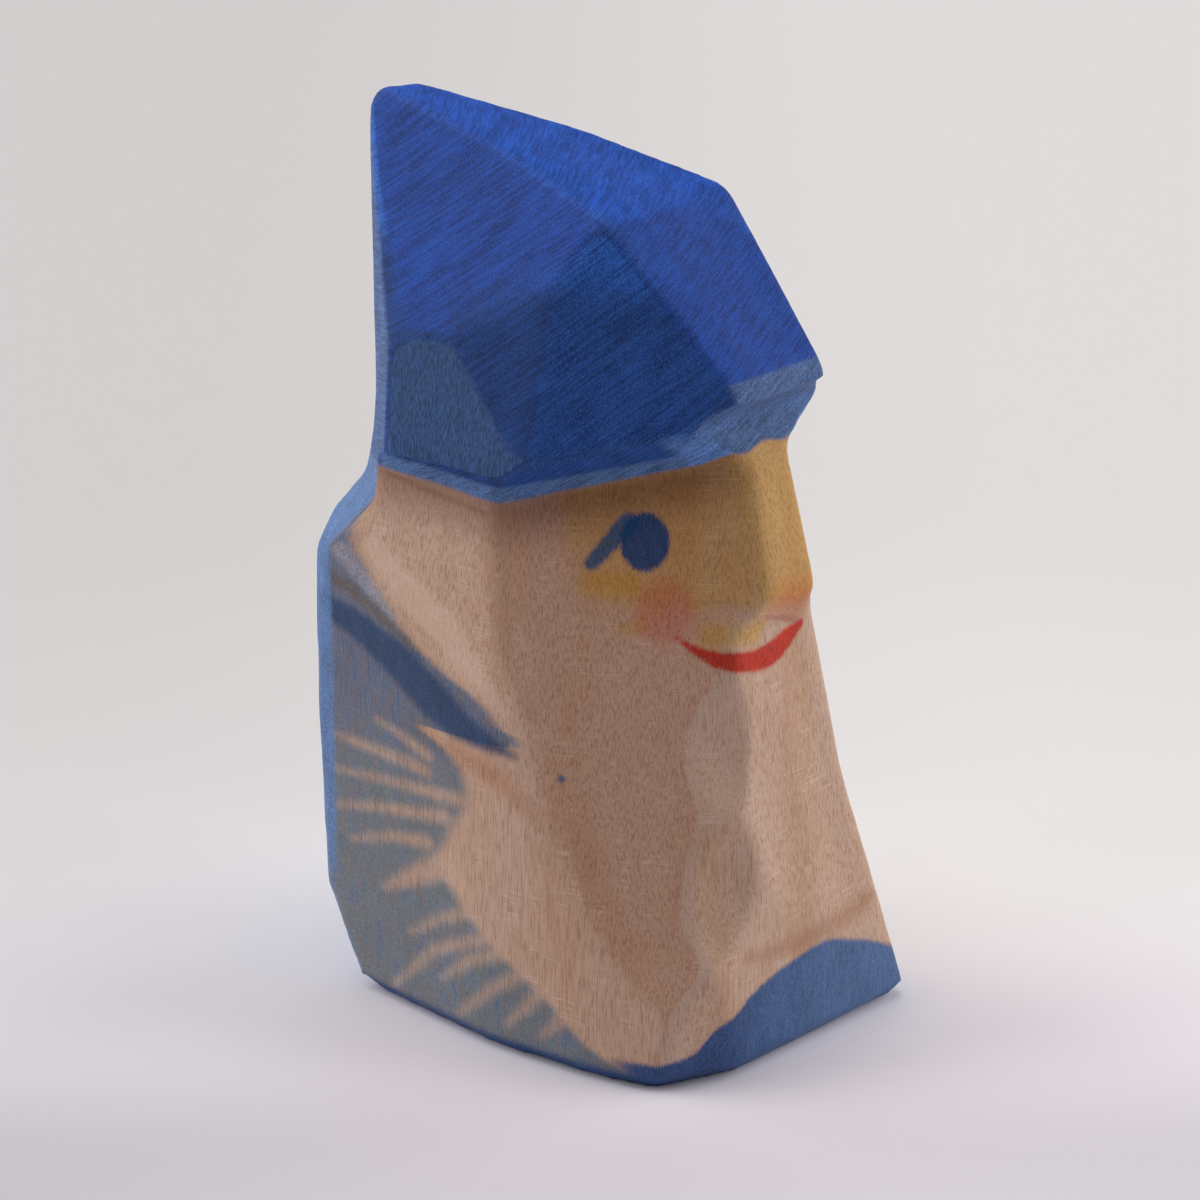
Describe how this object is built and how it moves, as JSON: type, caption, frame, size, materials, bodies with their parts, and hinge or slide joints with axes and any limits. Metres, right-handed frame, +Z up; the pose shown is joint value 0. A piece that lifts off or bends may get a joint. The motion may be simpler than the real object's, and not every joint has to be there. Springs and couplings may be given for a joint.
{
  "type": "wooden gnome figure",
  "caption": "Small carved wooden gnome with a pointed blue hat, stained face, long beard and jacket, standing on its flat base.",
  "frame": {"origin": "on the flat standing face, midway between the gnome's sides, about 15 mm behind the toe of the beard and 15.5 mm in front of the heel", "axes": "+Z is up through the hat, -Y is the way that the gnome faces, and +X is towards the gnome's left hand side"},
  "size_m": [0.0284, 0.0381, 0.0642],
  "materials": {
    "maple": "knife-cut and sanded maple, matt, with transparent watercolour stain"
  },
  "bodies": {
    "root": {"carved_figure": "maple"}
  },
  "joints": []
}
